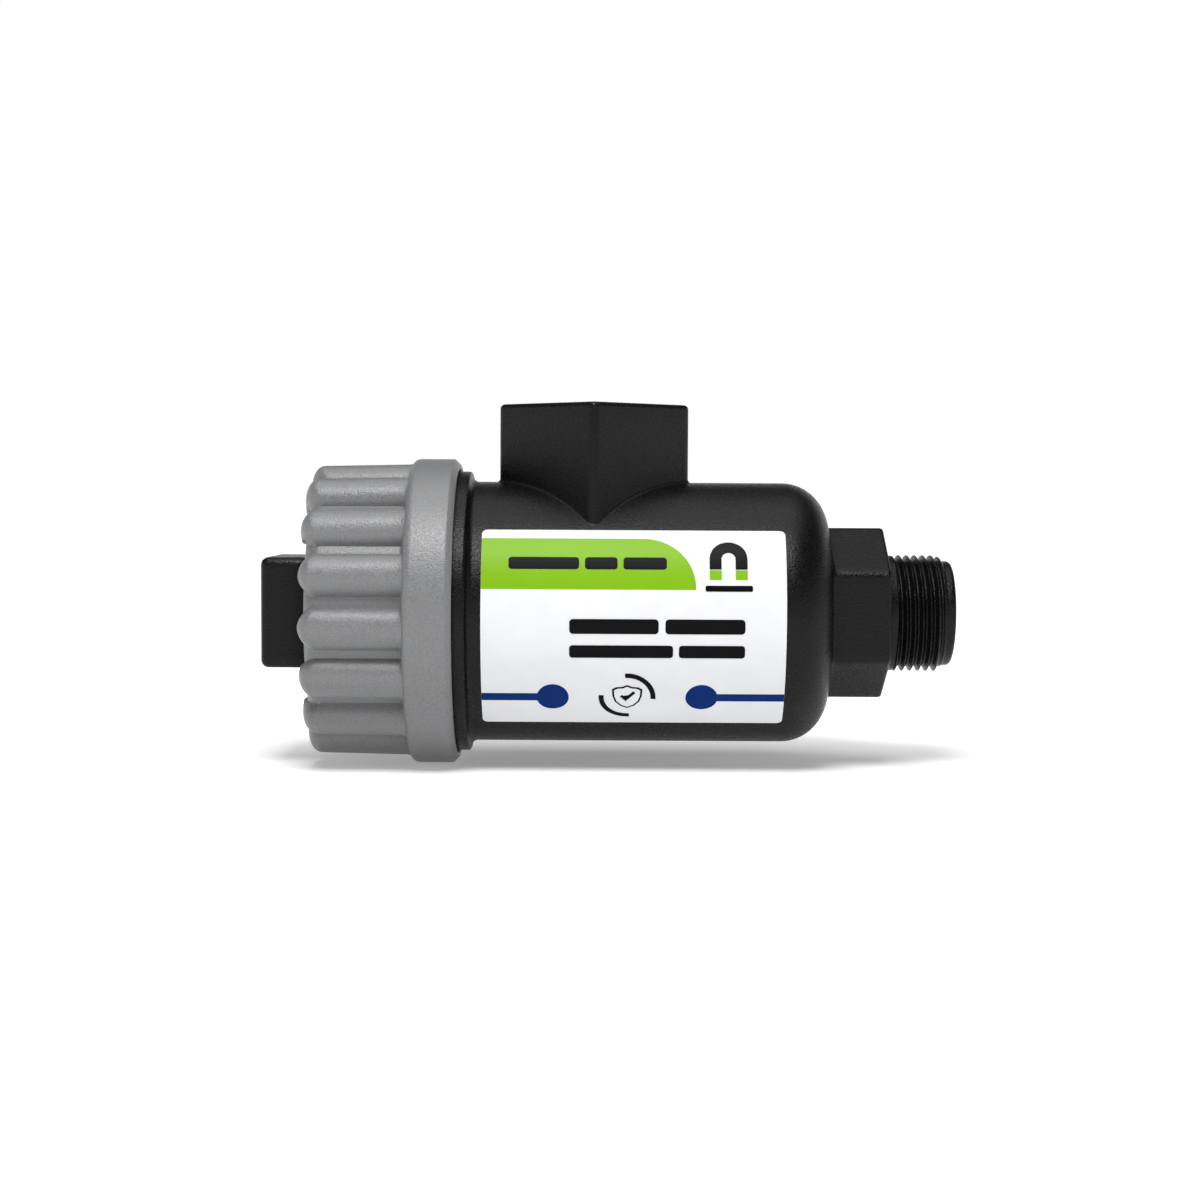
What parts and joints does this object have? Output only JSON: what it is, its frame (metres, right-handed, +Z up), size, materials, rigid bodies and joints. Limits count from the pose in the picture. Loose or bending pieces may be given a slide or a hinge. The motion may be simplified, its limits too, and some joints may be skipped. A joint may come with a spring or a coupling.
{
  "type": "magnetic system filter",
  "caption": "In-line heating filter with a domed barrel, square threaded side inlet, hexagonal threaded outlet, ribbed union nut and pull-out magnet core in a strainer cartridge.",
  "frame": {"origin": "centre of the inlet port's rim, where the filter hangs on its pipe", "axes": "+X along the barrel towards the threaded outlet, +Z up out of the inlet port"},
  "size_m": [0.1553, 0.069, 0.0815],
  "materials": {
    "black_nylon": "satin, fine spark-eroded grain",
    "grey_nylon": "satin, fine spark-eroded grain",
    "label_film": "printed vinyl film",
    "rubber": "moulded, matt",
    "stainless": "drawn and lightly brushed",
    "acetal": "smooth",
    "magnet_nickel": "nickel plated",
    "pole_steel": "turned, lightly oiled"
  },
  "bodies": {
    "housing": {"filter_body": "black_nylon", "inlet_gasket": "rubber", "label_film": "label_film"},
    "cartridge": {"cartridge_cover": "black_nylon", "cover_o_ring": "rubber", "nut_snap_ring": "stainless", "thrust_washer": "acetal", "magnet_pocket": "stainless", "pocket_o_ring": "rubber", "strainer_cage": "black_nylon", "strainer_screen": "stainless", "strainer_end_cap": "black_nylon", "strainer_o_ring": "rubber"},
    "nut": {"union_nut": "grey_nylon"},
    "magnet_core": {"magnet_knob": "black_nylon", "knob_o_ring": "rubber", "core_rod": "stainless", "core_rod_nut": "stainless", "magnet_1": "magnet_nickel", "magnet_2": "magnet_nickel", "magnet_3": "magnet_nickel", "magnet_4": "magnet_nickel", "magnet_5": "magnet_nickel", "magnet_6": "magnet_nickel", "pole_piece_1": "pole_steel", "pole_piece_2": "pole_steel", "pole_piece_3": "pole_steel", "pole_piece_4": "pole_steel", "pole_piece_5": "pole_steel", "pole_piece_6": "pole_steel", "pole_piece_7": "pole_steel"}
  },
  "joints": [
    {"name": "cartridge_withdraw", "type": "slide", "parent": "housing", "child": "cartridge", "axis": [-1, 0, 0], "range_m": [0, 0.105]},
    {"name": "nut_unscrew", "type": "hinge", "parent": "cartridge", "child": "nut", "pos_m": [-0.05, 0, -0.047], "axis": [-1, 0, 0], "range_deg": [0, 4200]},
    {"name": "magnet_pull", "type": "slide", "parent": "cartridge", "child": "magnet_core", "axis": [-1, 0, 0], "range_m": [0, 0.1]}
  ],
  "couplings": [
    {"joint": "cartridge_withdraw", "follows": "nut_unscrew", "m_per_rad": 0.0014324}
  ]
}
